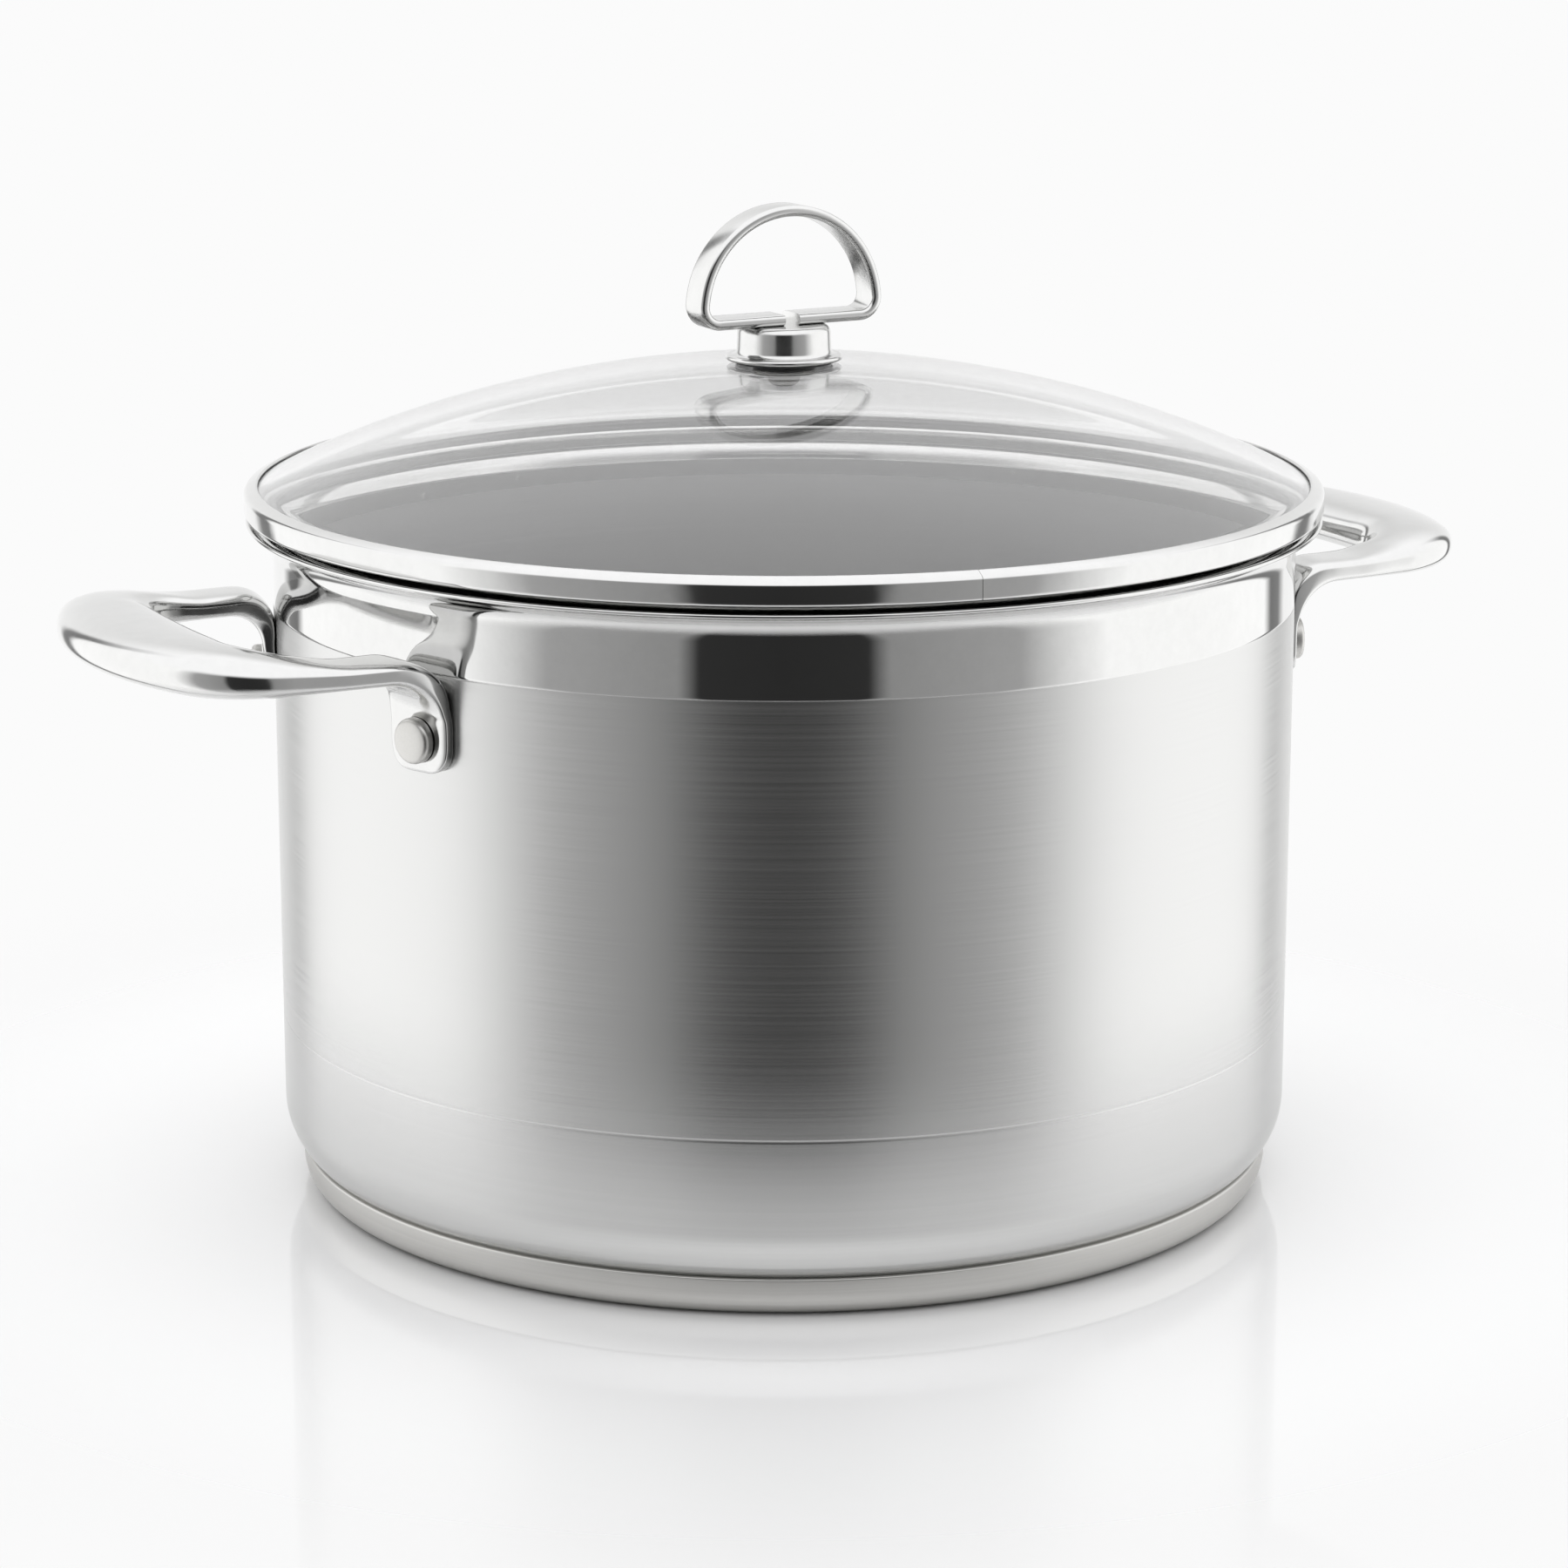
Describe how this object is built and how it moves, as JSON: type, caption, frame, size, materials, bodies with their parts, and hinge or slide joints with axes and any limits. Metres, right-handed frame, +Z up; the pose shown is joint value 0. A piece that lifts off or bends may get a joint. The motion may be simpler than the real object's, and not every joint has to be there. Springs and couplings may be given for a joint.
{
  "type": "stock pot",
  "caption": "Steel stock pot with riveted side handles, a flared pouring rim, an encapsulated base and a lift-off domed glass lid with a loop knob.",
  "frame": {"origin": "middle of the pot's footprint, at the height it stands on", "axes": "+Z up, the two side handles point along +X and -X"},
  "size_m": [0.354, 0.2546, 0.2332],
  "materials": {
    "pot_steel": "brushed round the wall, with a mirror band under the rim",
    "polished_steel": "mirror polished stainless steel",
    "satin_steel": "satin turned stainless steel",
    "core_aluminium": "plain, sealed inside the base",
    "lid_glass": "clear tempered glass with a faint green-grey tint",
    "gasket_rubber": "matte silicone rubber"
  },
  "bodies": {
    "pot": {"pot_body": "pot_steel", "base_core": "core_aluminium", "base_shell": "satin_steel", "handle_left": "polished_steel", "handle_right": "polished_steel", "rivet_left_front": "satin_steel", "rivet_left_rear": "satin_steel", "rivet_right_front": "satin_steel", "rivet_right_rear": "satin_steel"},
    "lid": {"lid_glass": "lid_glass", "lid_band": "polished_steel", "knob_loop": "polished_steel", "knob_cap": "polished_steel", "knob_boss": "satin_steel", "knob_gasket_upper": "gasket_rubber", "knob_gasket_lower": "gasket_rubber", "knob_washer": "satin_steel", "knob_screw": "satin_steel"}
  },
  "joints": [
    {"name": "lid_lift", "type": "slide", "parent": "pot", "child": "lid", "axis": [0, 0, 1], "range_m": [0, 0.25]}
  ]
}
